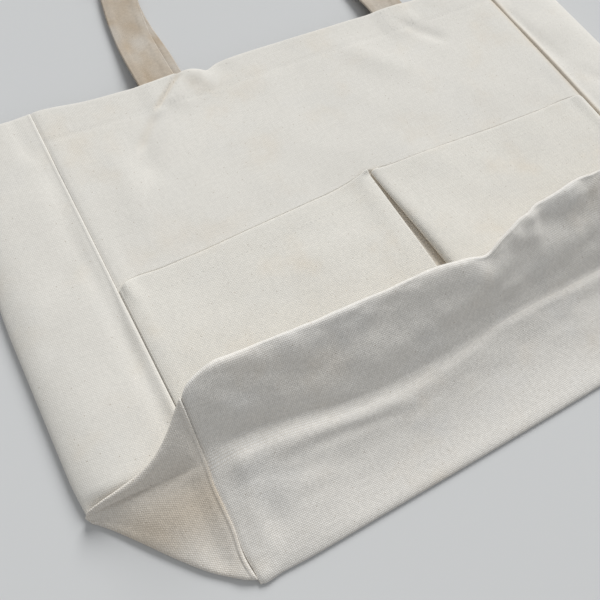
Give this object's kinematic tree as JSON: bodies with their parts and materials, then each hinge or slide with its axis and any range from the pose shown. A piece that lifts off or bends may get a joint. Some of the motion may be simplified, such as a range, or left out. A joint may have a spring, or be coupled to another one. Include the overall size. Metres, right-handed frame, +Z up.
{
  "type": "knitting bag",
  "caption": "Flat-bottomed natural canvas knitting bag with side gussets, outside patch pockets and two strap handles, lying folded nearly flat on its back.",
  "frame": {"origin": "middle of the whole outline as it lies, on the floor under the back panel", "axes": "+X across the bag to its right, +Y from the base towards the mouth and handles, +Z up from the back panel towards the pockets"},
  "size_m": [0.507, 0.5485, 0.042],
  "materials": {
    "canvas": "matte plain-weave cotton",
    "pocket_canvas": "matte plain-weave cotton",
    "seam_canvas": "matte turned cotton edge",
    "strap_canvas": "matte folded cotton canvas",
    "thread": "matte cotton thread"
  },
  "bodies": {
    "bag_body": {"back_panel": "canvas", "base_panel": "canvas", "front_panel_tuck": "canvas", "left_gusset_back": "canvas", "right_gusset_back": "canvas", "left_gusset_ear": "canvas", "right_gusset_ear": "canvas", "left_gusset_tuck": "canvas", "right_gusset_tuck": "canvas", "left_back_seam": "seam_canvas", "right_back_seam": "seam_canvas", "left_base_seam": "seam_canvas", "right_base_seam": "seam_canvas", "back_hem": "canvas", "left_gusset_back_hem": "canvas", "right_gusset_back_hem": "canvas", "back_handle_ends": "strap_canvas", "back_handle_tacks": "thread"},
    "front_wall": {"front_panel": "canvas", "left_gusset_front": "canvas", "right_gusset_front": "canvas", "left_front_seam": "seam_canvas", "right_front_seam": "seam_canvas", "front_hem": "canvas", "left_gusset_front_hem": "canvas", "right_gusset_front_hem": "canvas", "left_pocket": "pocket_canvas", "right_pocket": "pocket_canvas", "left_pocket_hem": "pocket_canvas", "right_pocket_hem": "pocket_canvas", "left_pocket_hem_stitches": "thread", "right_pocket_hem_stitches": "thread", "pocket_divider_stitches": "thread", "front_hem_stitches": "thread", "front_handle_ends": "strap_canvas", "front_handle_tacks": "thread"},
    "front_handle": {"front_handle_strap": "strap_canvas"},
    "back_handle": {"back_handle_strap": "strap_canvas"}
  },
  "joints": [
    {"name": "mouth_open", "type": "hinge", "parent": "bag_body", "child": "front_wall", "pos_m": [0, -0.212, 0.0114], "axis": [1, 0, 0], "range_deg": [0, 20]},
    {"name": "front_handle_swing", "type": "hinge", "parent": "front_wall", "child": "front_handle", "pos_m": [0, 0.058, 0.012], "axis": [1, 0, 0], "range_deg": [0, 165]},
    {"name": "back_handle_swing", "type": "hinge", "parent": "bag_body", "child": "back_handle", "pos_m": [0, 0.058, -0.0002], "axis": [1, 0, 0], "range_deg": [-165, 0]}
  ]
}
